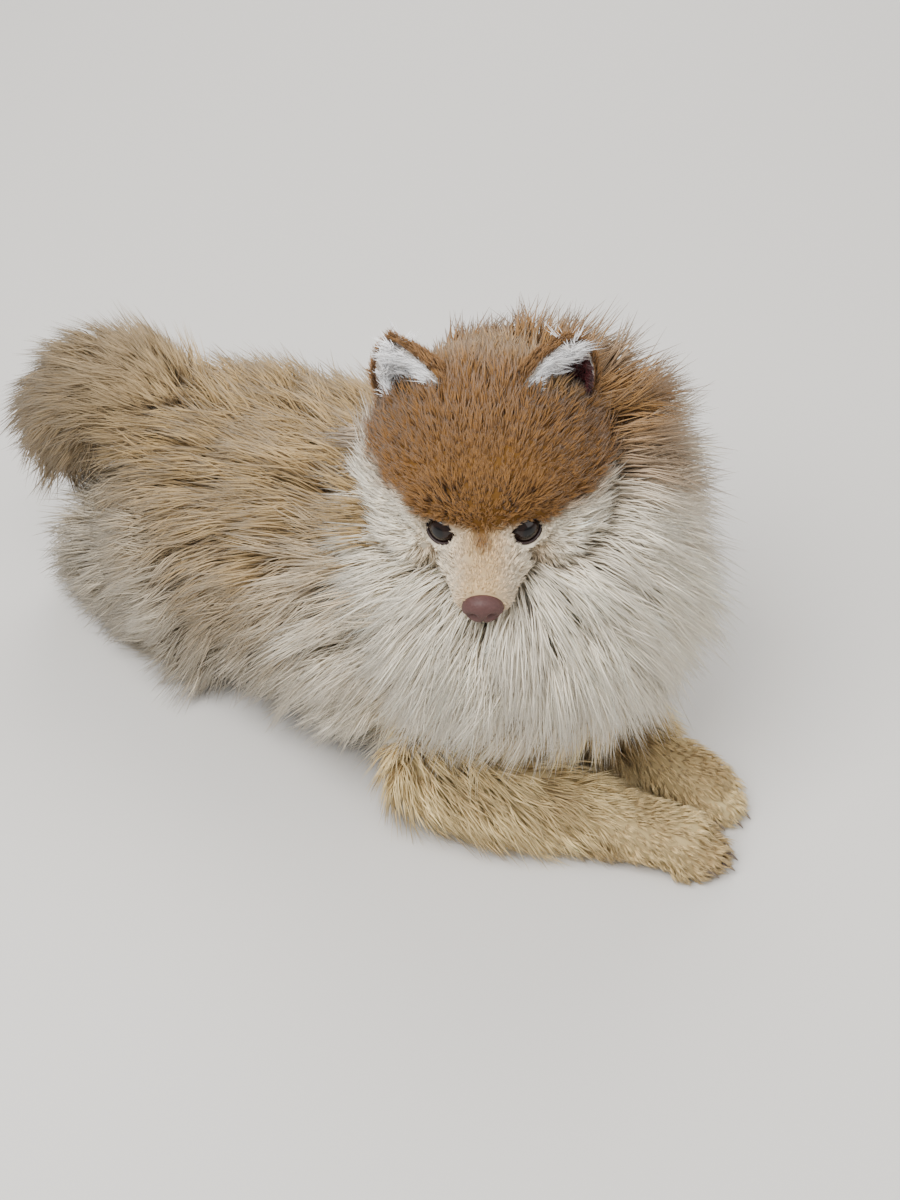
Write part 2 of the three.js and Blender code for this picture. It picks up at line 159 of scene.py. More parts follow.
class Loft:
    """Ellipses along a curve. Each station is (middle, half width, half height)."""

    def __init__(self, stations, up=UP, head=False, ends=(0.6, 0.6)):
        middles = np.array([s[0] for s in stations], float)
        self.up = np.asarray(up, float)
        self.ends = ends
        if head:
            middles = on_head(middles)
            self.up = head_way(self.up)
        self.middles = middles
        self.wide = [s[1] for s in stations]
        self.high = [s[2] for s in stations]

    def frame(self, t):
        """Middles at shares t of the curve, the ways along, across and up there, and both half sizes."""
        t = np.asarray(t, float)
        middle = through(self.middles, t)
        along = unit(through(self.middles, t + 0.01) - through(self.middles, t - 0.01))
        side = unit(np.cross(self.up, along))
        top = np.cross(along, side)
        return middle, along, side, top, through(self.wide, t), through(self.high, t)

    def mesh(self, rings=28, sides=32):
        """Closed surface with rounded ends, as points and faces."""
        angle = np.arange(sides) * TURN / sides
        reach = [share * min(self.wide[k], self.high[k]) for share, k in zip(self.ends, (0, -1))]
        caps = [0.25, 0.55, 0.8]
        plan = [(0.0, np.sin(c * np.pi / 2), -reach[0] * np.cos(c * np.pi / 2)) for c in caps]
        plan += [(i / rings, 1.0, 0.0) for i in range(rings + 1)]
        plan += [(1.0, np.sin(c * np.pi / 2), reach[1] * np.cos(c * np.pi / 2)) for c in caps[::-1]]
        rows = []
        for t, scale, shift in plan:
            middle, along, side, top, wide, high = self.frame(np.array([t]))
            ring = np.cos(angle)[:, None] * side * wide + np.sin(angle)[:, None] * top * high
            rows.append(middle + along * shift + ring * scale)
        first = self.frame(np.array([0.0]))
        last = self.frame(np.array([1.0]))
        return close_rows(rows, first[0] - first[1] * reach[0], last[0] + last[1] * reach[1])


def close_rows(rows, start, end):
    """A closed surface from rings of points and the two points that end it."""
    sides = len(rows[0])
    points = np.concatenate([start, *rows, end])
    k = np.arange(sides)
    after = (k + 1) % sides
    faces = []
    for r in range(len(rows) - 1):
        a, b = 1 + r * sides, 1 + (r + 1) * sides
        faces += list(zip(a + k, a + after, b + after, b + k))
    a, last = 1 + (len(rows) - 1) * sides, len(points) - 1
    faces += [(0, 1 + j, 1 + i) for i, j in zip(k, after)]
    faces += [(last, a + i, a + j) for i, j in zip(k, after)]
    return points, faces


def ball(middle, radii, turn=None, rings=14, sides=24):
    """An ellipsoid as points and faces."""
    rows = []
    for i in range(1, rings):
        a = np.pi * i / rings
        b = np.arange(sides) * TURN / sides
        rows.append(np.stack([np.sin(a) * np.cos(b), np.sin(a) * np.sin(b), np.full(sides, -np.cos(a))], 1))
    points, faces = close_rows(rows, vec(0, 0, -1)[None], vec(0, 0, 1)[None])
    points = points * radii
    if turn is not None:
        points = points @ turn.T
    return points + middle, faces


def ring_tube(line, radius, sides=8):
    """A closed tube round a closed line of points."""
    ahead = unit(np.roll(line, -1, 0) - np.roll(line, 1, 0))
    middle = line.mean(0)
    out = unit((line - middle) - ahead * dot(line - middle, ahead))
    other = np.cross(ahead, out)
    a = np.arange(sides) * TURN / sides
    spokes = np.cos(a)[None, :, None] * out[:, None] + np.sin(a)[None, :, None] * other[:, None]
    grid = line[:, None] + radius * spokes
    n = len(line)
    i, j = np.meshgrid(np.arange(n), np.arange(sides), indexing="ij")
    i2, j2 = (i + 1) % n, (j + 1) % sides
    faces = np.stack([i * sides + j, i * sides + j2, i2 * sides + j2, i2 * sides + j], -1).reshape(-1, 4)
    return grid.reshape(-1, 3), [tuple(f) for f in faces]


# Forms under the coat, the same as the solids'
trunk = Loft([
    (vec(-178, 22, 52), 30, 34),
    (vec(-150, 21, 54), 44, 44),
    (vec(-112, 20, 56), 49, 48),
    (vec(-66, 18, 63), 50, 54),
    (vec(-18, 14, 66), 48, 54),
    (vec(18, 6, 58), 36, 42),
])
neck = Loft(
    [
        (vec(8, 8, 56), 42, 38),
        (vec(5, 16, 84), 47, 41),
        (vec(-5, 29, 112), 45, 32),
        (vec(-13, 36, 134), 41, 25),
        (vec(-16, 38, 150), 32, 19),
    ],
    up=(0.6, -0.8, 0),
)
skull = Loft(
    [
        (vec(-33, 0, 1), 22, 19),
        (vec(-22, 0, 1), 34, 28),
        (vec(-5, 0, 1), 39, 31),
        (vec(10, 0, 0), 35, 27),
        (vec(21, 0, -1), 25, 19),
    ],
    head=True,
    ends=(0.5, 0.35),
)
muzzle = Loft(
    [
        (vec(6, 0, -12), 17, 13),
        (vec(24, 0, -12), 14, 11.5),
        (vec(36, 0, -13), 13, 10.3),
        (vec(46, 0, -14), 10.5, 8.6),
    ],
    head=True,
    ends=(0.3, 0.6),
)
tail = Loft(
    [
        (vec(-164, 20, 70), 10, 10),
        (vec(-178, 14, 88), 11, 11),
        (vec(-191, 7, 100), 12, 11),
        (vec(-204, 0, 101), 12, 11),
        (vec(-214, -6, 93), 11, 10),
        (vec(-218, -9, 81), 8, 8),
    ],
    up=(0.5, -0.85, 0),
)


def foreleg(elbow, wrist, toes):
    """A foreleg that lies from elbow to toes."""
    ahead = unit(toes - wrist)
    return Loft(
        [
            (elbow + vec(-6, 0, 6), 19, 20),
            (elbow + 0.3 * (wrist - elbow) + vec(0, 0, 3), 17, 18),
            (elbow + 0.68 * (wrist - elbow), 13, 13.5),
            (wrist, 11, 11),
            (wrist + 13 * ahead, 12.5, 10.5),
            (toes - 9 * ahead, 11.5, 9.0),
        ],
        ends=(0.8, 0.75),
    )


TOE = {"radii": vec(8.5, 4.7, 6.0), "level": 6.4, "inner": (2.9, 6.5), "outer": (8.2, 1.5)}


def toe_balls(loft):
    """Four toes spread round the end of a paw."""
    middle, ahead, side, _, _, _ = (a[0] for a in loft.frame(np.array([1.0])))
    turn = np.stack([ahead, side, UP], 1)
    made = []
    for sign, toe in [(-1, "outer"), (-1, "inner"), (1, "inner"), (1, "outer")]:
        across, on = TOE[toe]
        place = middle + side * sign * across + ahead * on
        place[2] = TOE["level"]
        made.append(ball(place, TOE["radii"], turn, 8, 12))
    return made


FORELEGS = {
    "foreleg_right": foreleg(vec(4, -28, 19), vec(62, -6, 12.5), vec(102, 10, 10)),
    "foreleg_left": foreleg(vec(4, 44, 19), vec(60, 34, 12.5), vec(92, 35, 10)),
}


def hindleg(side):
    """A hind leg folded beside the rump, as its thigh, shank and foot."""
    hip = vec(-148, 20 + 26 * side, 48)
    knee = vec(-128, 20 + 44 * side, 30)
    hock = vec(-196, 20 + (-26 if side < 0 else 40), 26)
    thigh = Loft([(hip, 24, 28), (hip + 0.6 * (knee - hip), 22, 26), (knee, 15, 17)])
    shank = Loft([(knee, 14, 16), (knee + 0.45 * (hock - knee), 16, 18), (hock, 18, 20)])
    foot = Loft([
        (hock + vec(4, 0, -14), 10.5, 10),
        (hock + vec(28, 6 * side, -16), 10, 9),
        (hock + vec(48, 8 * side, -17), 11.5, 8.5),
    ])
    return thigh, shank, foot


HIND = {"hindleg_right": hindleg(-1), "hindleg_left": hindleg(1)}


def link(name, points, faces):
    """A mesh object from millimetre points and a list of faces."""
    mesh = bpy.data.meshes.new(name)
    mesh.from_pydata(to_world(points).tolist(), [], [tuple(map(int, f)) for f in faces])
    mesh.update()
    made = bpy.data.objects.new(name, mesh)
    bpy.context.scene.collection.objects.link(made)
    return made


def joined(parts):
    """One set of points and faces from several."""
    points, faces, start = [], [], 0
    for p, f in parts:
        points.append(p)
        faces += [tuple(i + start for i in face) for face in f]
        start += len(p)
    return np.concatenate(points), faces


def read(elements, field, width=1, kind=np.int32):
    """One field of all the vertices, loops or faces of a mesh."""
    values = np.empty(len(elements) * width, kind)
    elements.foreach_get(field, values)
    return values


def read_vectors(mesh, field):
    """One vector for each point of a mesh."""
    return read(mesh.vertices, field, 3, np.float32).reshape(-1, 3).astype(float)


def shade_smooth(mesh):
    mesh.polygons.foreach_set("use_smooth", np.ones(len(mesh.polygons), bool))


def applied(made, *modifiers):
    """Adds and applies modifiers, each a kind and its settings."""
    for kind, settings in modifiers:
        modifier = made.modifiers.new(kind, kind)
        for key, value in settings.items():
            setattr(modifier, key, value)
    graph = bpy.context.evaluated_depsgraph_get()
    mesh = bpy.data.meshes.new_from_object(made.evaluated_get(graph))
    made.modifiers.clear()
    old = made.data
    made.data = mesh
    bpy.data.meshes.remove(old)
    return made


LIDS = {"half_width": 7.0, "half_height": 6.0, "reach": 8.2, "radius": 1.6}
CHEEK = {"place": vec(5, 20, -14), "radii": vec(19, 16, 14)}


def eye_frame(side):
    """Where an eye looks, with the ways across and up it, in the head's frame."""
    look = unit(mirrored(EYE["look"], side))
    across = unit(np.cross(UP, look))
    return look, across, np.cross(look, across)


def lid_line(side, shape, turns):
    """A closed almond line in front of one eye, at some reach from its middle."""
    look, across, top = eye_frame(side)
    a = np.arange(turns) * TURN / turns
    y, z = np.cos(a), np.sin(a)
    z = z * (1 - 0.2 * np.abs(y) ** 3)
    centre = mirrored(EYE["place"], side)
    flat = centre + across * (y * shape["half_width"])[:, None] + top * (z * shape["half_height"])[:, None]
    ahead = np.sqrt(np.maximum(shape["reach"] ** 2 - np.sum((flat - centre) ** 2, 1), 0.5))
    return on_head(flat + look * ahead[:, None])


def skin_parts():
    """The forms, toes, cheeks and lids that the skin is drawn over."""
    parts = [loft.mesh() for loft in (trunk, neck, skull, muzzle, tail, *FORELEGS.values())]
    for legs in HIND.values():
        parts += [loft.mesh() for loft in legs]
    for loft in FORELEGS.values():
        parts += toe_balls(loft)
    for side in SIDES:
        parts.append(ball(on_head(mirrored(CHEEK["place"], side)), CHEEK["radii"], HEAD_TURN))
        parts.append(ring_tube(lid_line(side, LIDS, 40), LIDS["radius"]))
    return parts


VOXEL = 1.5
skin = link("skin", *joined(skin_parts()))
applied(
    skin,
    ("REMESH", {"mode": "VOXEL", "voxel_size": VOXEL * MM}),
    ("SMOOTH", {"factor": 0.5, "iterations": 6}),
)

SOCKET = {"half_width": 6.5, "half_height": 5.4, "depth": 7}
SKIN_FLOOR = 0.6


def shape_skin():
    """Opens the eye sockets, draws in the mouth line and lays the underside on the floor."""
    p = (read_vectors(skin.data, "co") - SHIFT) / MM
    q = in_head(p)
    for side in SIDES:
        look, across, top = eye_frame(side)
        d = q - mirrored(EYE["place"], side)
        y, z = d @ across, d @ top
        inside = np.sqrt((y / SOCKET["half_width"]) ** 2 + (z / SOCKET["half_height"]) ** 2)
        near = (d @ look > -1) & (np.abs(y) < 9) & (np.abs(z) < 8)
        q -= look * (SOCKET["depth"] * (1 - ramp(inside, 0.75, 1.1)) * near)[:, None]
    mouth = np.abs(q[:, 2] + 19 + 0.03 * (q[:, 0] - 30))
    groove = np.exp(-((mouth / 1.0) ** 2)) * ramp(q[:, 0], 20, 28) * (q[:, 2] < -14)
    q -= 1.2 * groove[:, None] * unit(q * vec(0.2, 1, 0))
    p = on_head(q)
    p[:, 2] = np.maximum(p[:, 2], SKIN_FLOOR)
    skin.data.vertices.foreach_set("co", to_world(p).astype(np.float32).ravel())
    skin.data.update()
    return p


skin_points = shape_skin()
shade_smooth(skin.data)

# The named forms that a point of the skin can belong to
FORMS = {
    "torso": [trunk],
    "neck": [neck],
    "head": [skull, muzzle],
    "tail": [tail],
    "foreleg_right": [FORELEGS["foreleg_right"]],
    "foreleg_left": [FORELEGS["foreleg_left"]],
    "hindleg_right": list(HIND["hindleg_right"]),
    "hindleg_left": list(HIND["hindleg_left"]),
}
NAMES = list(FORMS)
STEPS = 25  # places along each form that a point is measured from
FAR = 1e9
MEET = 3.5  # how softly one form's coat turns into the next, in millimetres


def holds(p):
    """Distance of points from each named form, with their share along it, its way and their angle there."""
    distance = np.full((len(p), len(NAMES)), FAR)
    share = np.zeros((len(p), len(NAMES)))
    along = np.zeros((len(p), len(NAMES), 3))
    angle = np.zeros((len(p), len(NAMES)))
    t = np.linspace(0, 1, STEPS)
    for k, name in enumerate(NAMES):
        for loft in FORMS[name]:
            middle, ahead, side, top, wide, high = loft.frame(t)
            for i in range(STEPS):
                d = p - middle[i]
                radius = 0.5 * (wide[i] + high[i])
                across = d @ side[i] * radius / wide[i]
                upward = d @ top[i] * radius / high[i]
                away = np.sqrt(across**2 + upward**2 + (d @ ahead[i]) ** 2) - radius
                nearer = away < distance[:, k]
                distance[nearer, k] = away[nearer]
                share[nearer, k] = t[i]
                along[nearer, k] = ahead[i]
                angle[nearer, k] = np.arctan2(d[nearer] @ top[i], d[nearer] @ side[i])
    return distance, share, along, angle


FACE = on_head(vec(16, 0, 2))


def lie_of(name, p, normal, along):
    """The way hair lies on one form, before it is laid flat on the skin."""
    one = np.ones(len(p))
    if name == "torso":
        down = -0.15 - 0.75 * np.abs(normal[:, 1]) * (p[:, 2] < 95)
        return np.stack([-one, 0.1 * np.sign(p[:, 1] - 20), down], 1)
    if name == "neck":
        away = p - FACE
        away[:, 2] = away[:, 2] * 1.15 - 14
        return away
    if name == "head":
        q = in_head(p)
        sign = np.sign(q[:, 1])
        side = 0.9 * sign * ramp(np.abs(q[:, 1]), 4, 34) * ramp(q[:, 0], 44, 12)
        low = -0.5 * ramp(-q[:, 2], -2, 18) + 0.4 * ramp(q[:, 2], 4, 24)
        return head_way(np.stack([-one, side, low], 1))
    if name.startswith("hindleg"):
        side = -1 if name.endswith("right") else 1
        return np.stack([-one, 0.25 * side * one, -0.55 * one], 1)
    if name == "tail":
        return along + 0.35 * normal
    return along * 0.9 + np.stack([-0.1 * one, 0 * one, -0.3 * one], 1)


def head_coat(p):
    """Short hair on the face, shortest round the eyes, and long hair on the back and cheeks."""
    q = in_head(p)
    x, y, z = q[:, 0], np.abs(q[:, 1]), q[:, 2]
    back = ramp(-x, -20, 26)
    cheek = ramp(y, 19, 34) * ramp(-z, -12, 8)
    jowl = ramp(y, 5, 12) * ramp(-x, -44, -30)
    snout = 2.8 + 2.4 * ramp(-x, -46, -20) + 6.5 * jowl
    length = np.where(x > 20, snout, 4 + 15 * back + 13 * cheek)
    for side in SIDES:
        d = np.linalg.norm(q - mirrored(EYE["place"], side), axis=1)
        length = np.minimum(length, 1.8 + 9 * ramp(d, 8, 18) + 30 * ramp(d, 15, 36))
    return length, 0.3 + 0.024 * length, 20 + 26 * back + 12 * cheek + 22 * jowl * (x > 20)


def coat_of(name, p, share):
    """Length, width and lift in degrees of the hair on one form."""
    one = np.ones(len(p))
    broad = 0.66 * one
    if name == "torso":
        chest = ramp(p[:, 0], -30, 0) * ramp(-p[:, 2], -92, -56)
        return 40 - 8 * ramp(-p[:, 2], -60, -20) - 16 * chest, broad, 50 - 14 * chest
    if name == "neck":
        low = ramp(-p[:, 2], -100, -50)
        return 43 - 25 * low, broad, 50 - 12 * low
    if name == "head":
        return head_coat(p)
    if name.startswith("hindleg"):
        return 30 * one, broad, 40 * one
    if name == "tail":
        return 28 + 4 * share, broad, 40 * one
    return 7 + 15 * ramp(-share, -0.82, -0.2), 0.45 + 0.2 * ramp(-share, -0.7, 0), 32 * one


def blended(p, normal):
    """Lie and sizes of the hair at points, mixed smoothly where forms meet, and where the points belong."""
    distance, share, along, angle = holds(p)
    weight = np.exp(-np.maximum(distance - distance.min(1, keepdims=True), 0) / MEET)
    weight /= weight.sum(1, keepdims=True)
    lie = np.zeros_like(p)
    sizes = np.zeros((len(p), 3))
    for k, name in enumerate(NAMES):
        w = weight[:, k : k + 1]
        lie += w * unit(lie_of(name, p, normal, along[:, k]))
        sizes += w * np.stack(coat_of(name, p, share[:, k]), 1)
    return unit(lie), sizes, distance.argmin(1), share, angle


def paint(red, green, blue):
    """A colour as the eye sees it, from 0 to 255, turned to linear light."""
    c = np.array([red, green, blue]) / 255
    return np.where(c <= 0.04045, c / 12.92, ((c + 0.055) / 1.055) ** 2.4)


CAP = paint(126, 88, 42)
CROWN = paint(170, 138, 94)
NAPE = paint(143, 107, 62)
CREAM = paint(242, 234, 216)
MUZZLE = paint(212, 182, 138)
BODY = paint(178, 151, 106)
# cream of the flanks, greyed partway with painted shade on the lower flanks
SHADED_FLANK = paint(193, 182, 162)
LEG = paint(244, 221, 166)
PLUME = paint(150, 130, 98)
EAR_BACK = paint(134, 98, 58)
EAR_FRONT = paint(250, 250, 252)
# red skin deep in an ear, darkened further with painted shade of the ear's hollow
EAR_SKIN_AND_SHADE = paint(92, 40, 42)


def mix(a, b, t):
    """Colours from a to b, at one share for each point."""
    return a + (b - a) * np.asarray(t)[:, None]


def wave(p, size, seed):
    """A slow, smooth noise from a few sine waves, about -1 to 1."""
    draw = np.random.default_rng(seed)
    total = 0
    for _ in range(5):
        way = unit(draw.normal(size=3))
        total = total + np.sin(p @ way * TURN / (size * draw.uniform(0.7, 1.5)) + draw.uniform(0, TURN))
    return total / 2.6


def head_colour(p):
    """A tan cap that runs to a point between the eyes, cream cheeks and a tan bridge of the nose."""
    q = in_head(p)
    x, y, z = q[:, 0], np.abs(q[:, 1]), q[:, 2]
    slope = np.where(q[:, 1] > 0, -0.3, 0.1)
    middle = 5.5 * ramp(8 - y, 0, 8)
    behind = 9 * ramp(-x, -6, 22)
    edge = 2.5 + slope * np.maximum(y - 16, 0) - middle - behind + 1.2 * wave(p, 9, 3)
    blend = 1 + 1.1 * ramp(y, 18, 34)
    cap = ramp((z - edge) / blend, -2.2, 3.0)
    pale = np.maximum(ramp(y - 0.3 * x, 6, 20), ramp(-z, 14, 20))
    pale = np.maximum(pale, 0.75 * ramp(y, 3, 14) * ramp(x, 16, 28))
    face = mix(mix(MUZZLE, CREAM, pale), CAP, cap)
    return mix(face, CROWN, 0.8 * ramp(-x + 4 * wave(p, 16, 10), 8, 28))


def ruff_colour(p):
    """A cream ruff, tan over the nape and where it meets the legs."""
    behind = np.maximum(ramp(-in_head(p)[:, 0], -4, 14), ramp(p[:, 1], 44, 66))
    lower = 20 * ramp(p[:, 1], 34, 62)
    high = ramp(p[:, 2] + 9 * wave(p, 26, 4) - lower, 98, 156) * behind
    legward = 0.9 * ramp(-p[:, 2] + 4 * wave(p, 26, 8), -78, -58) * ramp(p[:, 0], 0, 20)
    return mix(mix(CREAM, NAPE, high), LEG, legward)


def body_colour(p):
    """A tan back over paler flanks that carry painted shade, cream behind the ruff and tan at the elbows.
    """
    back = ramp(p[:, 2] + 9 * wave(p, 34, 5), 46, 92)
    ruffward = 0.8 * ramp(p[:, 0] + 8 * wave(p, 30, 9), -78, -34) * ramp(-p[:, 2], -112, -84)
    legward = ramp(p[:, 0], -24, 0) * ramp(-p[:, 2], -74, -54)
    return mix(mix(mix(SHADED_FLANK, BODY, back), CREAM, ruffward), LEG, legward)


def markings(p, near, share):
    """Colour of the coat at points near one of the named forms."""
    names = np.array(NAMES)[near]
    colour = np.where((names == "head")[:, None], head_colour(p), body_colour(p))
    colour = np.where((names == "neck")[:, None], ruff_colour(p), colour)
    plume = mix(BODY, PLUME, ramp(share, 0.05, 0.45))
    colour = np.where((names == "tail")[:, None], plume, colour)
    leg = mix(LEG, BODY, 0.5 + 0.4 * wave(p, 24, 6))
    colour = np.where(np.char.startswith(names, "foreleg")[:, None], leg, colour)
    return colour * (1 + 0.05 * wave(p, 14, 7))[:, None]


def atlas(cell, share, turn):
    """Places on the skin's picture: a cell for each form, across it the way round, up it the way along."""
    u = (cell % 4 + 0.08 + 0.84 * turn) / 4
    v = (cell // 4 + 0.06 + 0.86 * share) / 2
    return np.stack([u, v], -1)


def set_colour(mesh, colours):
    """The coat's colour at each point of a mesh."""
    attribute = mesh.color_attributes.new("Coat", "FLOAT_COLOR", "POINT")
    rgba = np.ones((len(colours), 4), np.float32)
    rgba[:, :3] = np.clip(colours, 0, 1)
    attribute.data.foreach_set("color", rgba.ravel())


def set_places(mesh, places):
    """Texture places, one for each corner of the faces."""
    layer = mesh.uv_layers.new(name="OFBake")
    layer.data.foreach_set("uv", places.astype(np.float32).ravel())


def pick(rows, columns):
    """One value from each row."""
    return rows[np.arange(len(rows)), columns]


SKIN_SHADE = 0.66  # the skin under the hair is darker than the hair
skin_normals = read_vectors(skin.data, "normal")
_, skin_sizes, skin_near, skin_share, skin_angle = blended(skin_points, skin_normals)


def finish_skin():
    """Paints the skin and lays out its texture places, with no face torn across a cell."""
    mesh = skin.data
    set_colour(mesh, markings(skin_points, skin_near, pick(skin_share, skin_near)) * SKIN_SHADE)
    loops = read(mesh.loops, "vertex_index")
    starts = read(mesh.polygons, "loop_start")
    totals = read(mesh.polygons, "loop_total")
    owner = np.repeat(np.arange(len(starts)), totals)
    cell = skin_near[loops[starts]][owner]
    angle = skin_angle[loops, cell]
    first = angle[starts][owner]
    onward = (angle - first + np.pi) % TURN - np.pi
    turn = (first / TURN) % 1.0 + onward / TURN
    set_places(mesh, atlas(cell, skin_share[loops, cell], turn))


finish_skin()


def triangles_of(mesh):
    """The three points of each triangle of a mesh."""
    mesh.calc_loop_triangles()
    return read(mesh.loop_triangles, "vertices", 3).reshape(-1, 3)


def scatter(points, normals, triangles, weight, count):
    """Random places on a surface, by area and by weight of its corners."""
    a, b, c = (points[triangles[:, k]] for k in range(3))
    area = 0.5 * np.linalg.norm(np.cross(b - a, c - a), axis=1) * weight[triangles].mean(1)
    chosen = rng.choice(len(triangles), count, p=area / area.sum())
    r, s = np.sqrt(rng.random(count)), rng.random(count)
    shares = np.stack([1 - r, r * (1 - s), r * s], 1)[:, :, None]
    corners = triangles[chosen]
    return (points[corners] * shares).sum(1), unit((normals[corners] * shares).sum(1))


FLOOR_CLEAR = 0.35  # hair is kept this far above the floor
BENDS = 8  # steps along the middle line of a lock
TAPER = (0.85, 0.9)  # share of its width that a hair has at each ring; it ends in a point
RINGS = len(TAPER)
HAIR_STEPS = np.linspace(0, 1, RINGS + 1)
TRIANGLES_PER_HAIR = 6 * RINGS - 2
# painted shade deep in the coat: each hair is darker and browner at its root and a little lighter at its
# tip
ROOT_SHADE = vec(0.66, 0.58, 0.48)  # hair is darker and browner at its root
TIP_TINT = 1.03


def lock_paths(guides):
    """The bent middle line of each lock, its ways along and across the skin, and its length."""
    root, normal, lie = guides["root"], guides["normal"], guides["lie"]
    count = len(root)
    flat = unit(lie - normal * dot(lie, normal))
    side = np.cross(normal, flat)
    flat = unit(flat + side * rng.normal(0, 0.16, (count, 1)))
    side = np.cross(normal, flat)
    length = guides["length"] * rng.uniform(0.8, 1.15, count)
    lift = np.radians(guides["lift"] * rng.uniform(0.6, 1.4, count))
    steps = np.linspace(0, 1, BENDS + 1)
    bend = lift[:, None] * (1.25 - 1.15 * steps[None, :])
    move = flat[:, None] * np.cos(bend)[..., None] + normal[:, None] * np.sin(bend)[..., None]
    move[..., 2] -= guides["droop"] * steps
    move += side[:, None] * (rng.normal(0, 0.22, (count, 1)) * steps[None, :])[..., None]
    path = np.concatenate([np.zeros((count, 1, 3)), np.cumsum((move[:, 1:] + move[:, :-1]) / 2, 1)], 1)
    return root[:, None] + path * (length / BENDS)[:, None, None], flat, side, length


def hair_lines(guides, children, spread, gather):
    """The points of each hair, from inside the skin to its tip, and the lock that it belongs to."""
    path, flat, side, length = lock_paths(guides)
    count = len(path)
    total = count * children
    owner = np.repeat(np.arange(count), children)
    a = rng.uniform(0, TURN, total)
    r = np.sqrt(rng.random(total)) * spread[owner]
    offset = side[owner] * (r * np.cos(a))[:, None] + flat[owner] * (r * np.sin(a))[:, None]
    own = rng.uniform(0.72, 1.06, total)
    stray = rng.normal(0, 0.065, (total, 3)) * length[owner][:, None]
    rows = []
    for s in HAIR_STEPS:
        x = np.clip(s * own, 0, 1) * BENDS
        i = np.minimum(x.astype(int), BENDS - 1)
        f = (x - i)[:, None]
        p = path[owner, i] * (1 - f) + path[owner, i + 1] * f
        p = p + offset * (1 - gather * s**1.3) + stray * s**1.5
        rows.append(p)
    rows[0] -= guides["normal"][owner]
    rows = np.stack(rows, 1)
    low = rows[..., 2] < FLOOR_CLEAR
    rows[..., 2] = np.where(low, FLOOR_CLEAR + 0.03 * np.abs(rows[..., 2]), rows[..., 2])
    return rows, owner


def hair_corners(rows, normal, width):
    """Three corners round each hair at each ring, and one for its tip."""
    total = len(rows)
    ahead = unit(np.gradient(rows, axis=1))
    across = unit(np.cross(ahead, normal[:, None]))
    out = np.cross(across, ahead)
    twist = rng.normal(0, 0.5, (total, 1, 1))
    c = (across * np.cos(twist) + out * np.sin(twist))[:, :-1]
    n = (out * np.cos(twist) - across * np.sin(twist))[:, :-1]
    width = width * rng.uniform(0.75, 1.25, total)
    half = (width[:, None] * np.array(TAPER))[..., None] / 2
    body, end = rows[:, :-1], rows[:, -1:]
    corners = np.stack([body + c * half, body + n * half * 0.8, body - c * half], 2)
    return np.concatenate([corners.reshape(total, -1, 3), end], 1)


def hair_faces(total):
    """Triangles of every hair: its closed root, its sides and its tip."""
    faces = [(0, 1, 2)]
    for k in range(RINGS - 1):
        for m in range(3):
            a, b = 3 * k + m, 3 * k + (m + 1) % 3
            faces += [(a, a + 3, b), (b, a + 3, b + 3)]
    last, tip = 3 * (RINGS - 1), 3 * RINGS
    for m in range(3):
        faces.append((last + m, tip, last + (m + 1) % 3))
    return (np.array(faces)[None] + (np.arange(total) * (tip + 1))[:, None, None]).reshape(-1, 3)


def grow_hair(guides, children, spread, gather):
    """Hair in locks. Each guide carries some children, which draw together towards its tip.

    guides holds root, normal, lie, length, width, lift, colour and uv arrays, and the droop.
    """
    rows, owner = hair_lines(guides, children, spread, gather)
    points = hair_corners(rows, guides["normal"][owner], guides["width"][owner])
    count, total = len(guides["root"]), len(rows)
    shade = (1 + rng.normal(0, 0.1, count))[owner] * (1 + rng.normal(0, 0.07, total))
    along = np.append(np.repeat(HAIR_STEPS[:-1], 3), 1.0)
    across = np.append(np.tile([0, 0.5, 1], RINGS), 0.5)
    # painted shade: each hair's colour darkens from its tip towards its root
    tone = ROOT_SHADE + (TIP_TINT - ROOT_SHADE) * np.sqrt(along)[:, None]
    colour = guides["colour"][owner][:, None] * shade[:, None, None] * tone
    uv = guides["uv"][owner][:, None] + 0.003 * np.stack([across, along], 1) - 0.0015
    return points.reshape(-1, 3), hair_faces(total), colour.reshape(-1, 3), uv.reshape(-1, 2)


def hair_piece(name, slot, points, faces, colour, uv):
    """One piece of coat, made from the arrays of grow_hair."""
    mesh = bpy.data.meshes.new(name)
    mesh.vertices.add(len(points))
    mesh.vertices.foreach_set("co", to_world(points).astype(np.float32).ravel())
    mesh.loops.add(faces.size)
    mesh.loops.foreach_set("vertex_index", faces.astype(np.int32).ravel())
    mesh.polygons.add(len(faces))
    mesh.polygons.foreach_set("loop_start", np.arange(0, faces.size, 3, dtype=np.int32))
    mesh.polygons.foreach_set("loop_total", np.full(len(faces), 3, np.int32))
    set_places(mesh, uv[faces.ravel()])
    mesh.update(calc_edges=True)
    set_colour(mesh, colour)
    shade_smooth(mesh)
    made = bpy.data.objects.new(name, mesh)
    bpy.context.scene.collection.objects.link(made)
    mesh.materials.append(fur)
    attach(made, "root")


def principled(name, roughness, colour=None, specular=0.5, sheen=0.0):
    """A material of one colour, or of the coat's own colours where none is given."""
    material = bpy.data.materials.new(name)
    material.use_nodes = True
    tree = material.node_tree
    shader = tree.nodes["Principled BSDF"]
    shader.inputs["Roughness"].default_value = roughness
    shader.inputs["Specular IOR Level"].default_value = specular
    shader.inputs["Sheen Weight"].default_value = sheen
    if colour is None:
        source = tree.nodes.new("ShaderNodeAttribute")
        source.attribute_name = "Coat"
        tree.links.new(source.outputs["Color"], shader.inputs["Base Color"])
    else:
        shader.inputs["Base Color"].default_value = (*colour, 1)
    return material


